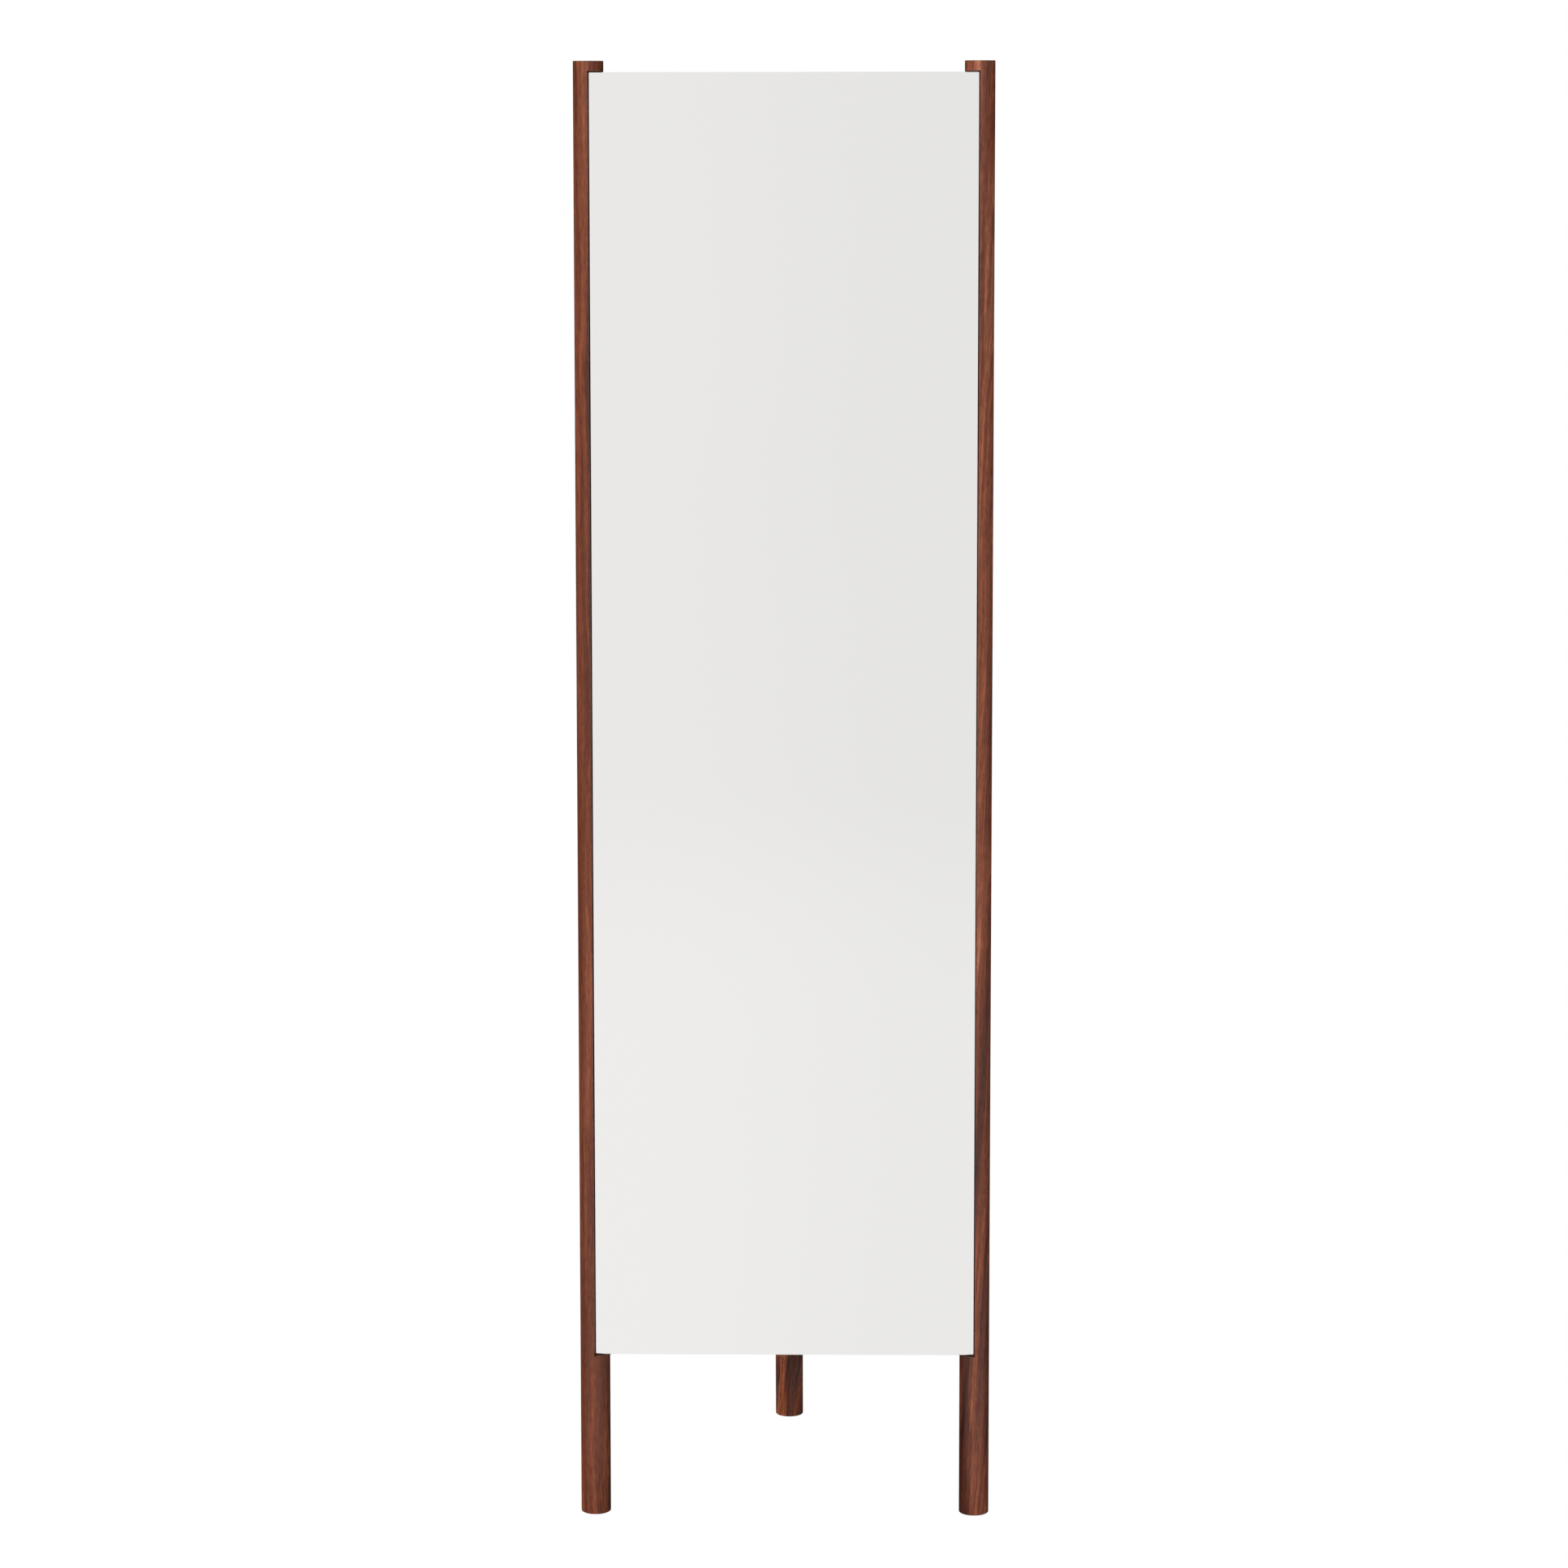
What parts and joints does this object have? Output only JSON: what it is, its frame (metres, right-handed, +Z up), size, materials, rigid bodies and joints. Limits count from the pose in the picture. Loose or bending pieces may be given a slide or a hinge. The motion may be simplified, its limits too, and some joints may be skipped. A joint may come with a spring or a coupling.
{
  "type": "standing mirror",
  "caption": "Full-length floor mirror: frameless glass let into round wooden posts, leaning back on a hinged rear leg.",
  "frame": {"origin": "on the floor, under the middle of the footprint of the open mirror", "axes": "+Z up, the mirror faces -Y, the rear leg stands out towards +Y, +X is to the right for someone looking into the mirror"},
  "size_m": [0.469, 0.4068, 1.65],
  "materials": {
    "walnut": "satin oiled walnut",
    "rail_walnut": "satin oiled walnut",
    "leg_walnut": "satin oiled walnut",
    "beech": "plain beech",
    "backing": "dark hardboard",
    "zinc_steel": "zinc plated",
    "mounting_tape": "foam tape",
    "mirror": "silvered glass",
    "black_steel": "black powder coat",
    "rubber": "matte",
    "nylon": "natural nylon",
    "glide_nylon": "dark nylon",
    "bush_steel": "plain steel"
  },
  "bodies": {
    "frame": {"left_post": "walnut", "right_post": "walnut", "upper_rail": "rail_walnut", "lower_rail": "rail_walnut", "upper_rail_dowels": "beech", "lower_rail_dowels": "beech", "backing_board": "backing", "board_screws": "zinc_steel", "mirror_tape_strips": "mounting_tape", "mirror_glass": "mirror", "hinge_bracket": "black_steel", "bracket_screws": "black_steel", "stop_pad": "rubber", "pivot_bolt": "black_steel", "pivot_nut": "black_steel", "pivot_washers": "nylon", "front_glides": "glide_nylon"},
    "rear_leg": {"rear_leg": "leg_walnut", "leg_bush": "bush_steel", "rear_glide": "glide_nylon"}
  },
  "joints": [
    {"name": "rear_leg_fold", "type": "hinge", "parent": "frame", "child": "rear_leg", "pos_m": [0, -0.086, 1.39695], "axis": [-1, 0, 0], "range_deg": [0, 13.87]}
  ]
}
